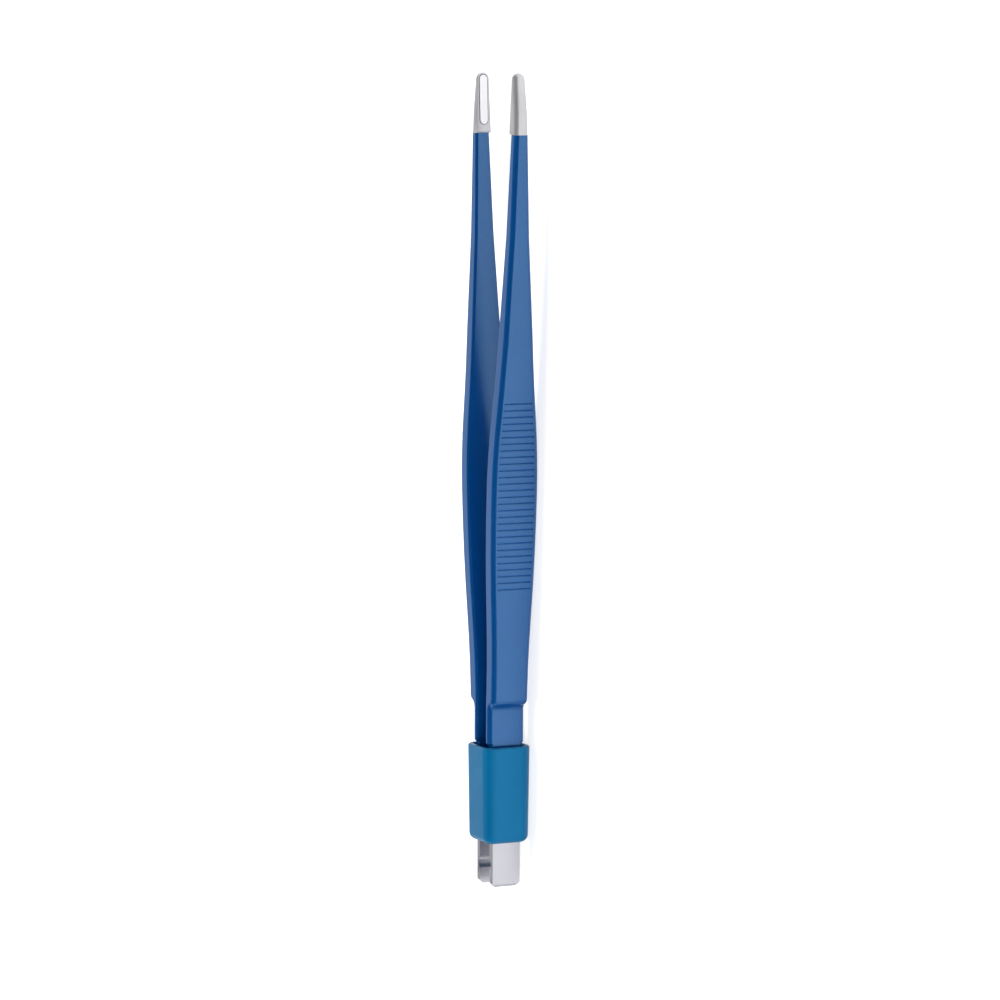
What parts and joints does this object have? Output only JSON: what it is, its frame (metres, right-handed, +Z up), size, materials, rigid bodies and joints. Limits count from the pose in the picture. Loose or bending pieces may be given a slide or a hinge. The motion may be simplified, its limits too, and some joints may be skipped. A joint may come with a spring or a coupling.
{
  "type": "bipolar forceps",
  "caption": "Sprung two-arm electrosurgical forceps with insulated arms, bare blunt tips, grooved finger grips and a flat-pin plug.",
  "frame": {"origin": "bottom centre of the bounding box, the forceps lying on edge on a table", "axes": "+X along the forceps towards the tips, Y across the opening with the left arm at +Y, +Z up, across the width of the arms"},
  "size_m": [0.184, 0.023, 0.0117],
  "materials": {
    "steel": "satin",
    "coat": "satin-gloss insulating coat",
    "tip_alloy": "fine satin, polished pads",
    "pin_metal": "satin",
    "sleeve": "satin moulding",
    "core": "dull moulding"
  },
  "bodies": {
    "plug_body": {"connector_sleeve": "sleeve", "insulating_core": "core", "left_contact_pin": "pin_metal", "right_contact_pin": "pin_metal"},
    "left_limb": {"left_arm": "steel", "left_coating": "coat", "left_tip": "tip_alloy"},
    "right_limb": {"right_arm": "steel", "right_coating": "coat", "right_tip": "tip_alloy"}
  },
  "joints": [
    {"name": "left_flex", "type": "hinge", "parent": "plug_body", "child": "left_limb", "pos_m": [-0.06377, 0.00325, 0.00585], "axis": [0, 0, -1], "range_deg": [0, 3.21], "stiffness_Nm_per_rad": 1.5},
    {"name": "right_flex", "type": "hinge", "parent": "plug_body", "child": "right_limb", "pos_m": [-0.06377, -0.00325, 0.00585], "axis": [0, 0, 1], "range_deg": [0, 3.21], "stiffness_Nm_per_rad": 1.5}
  ]
}
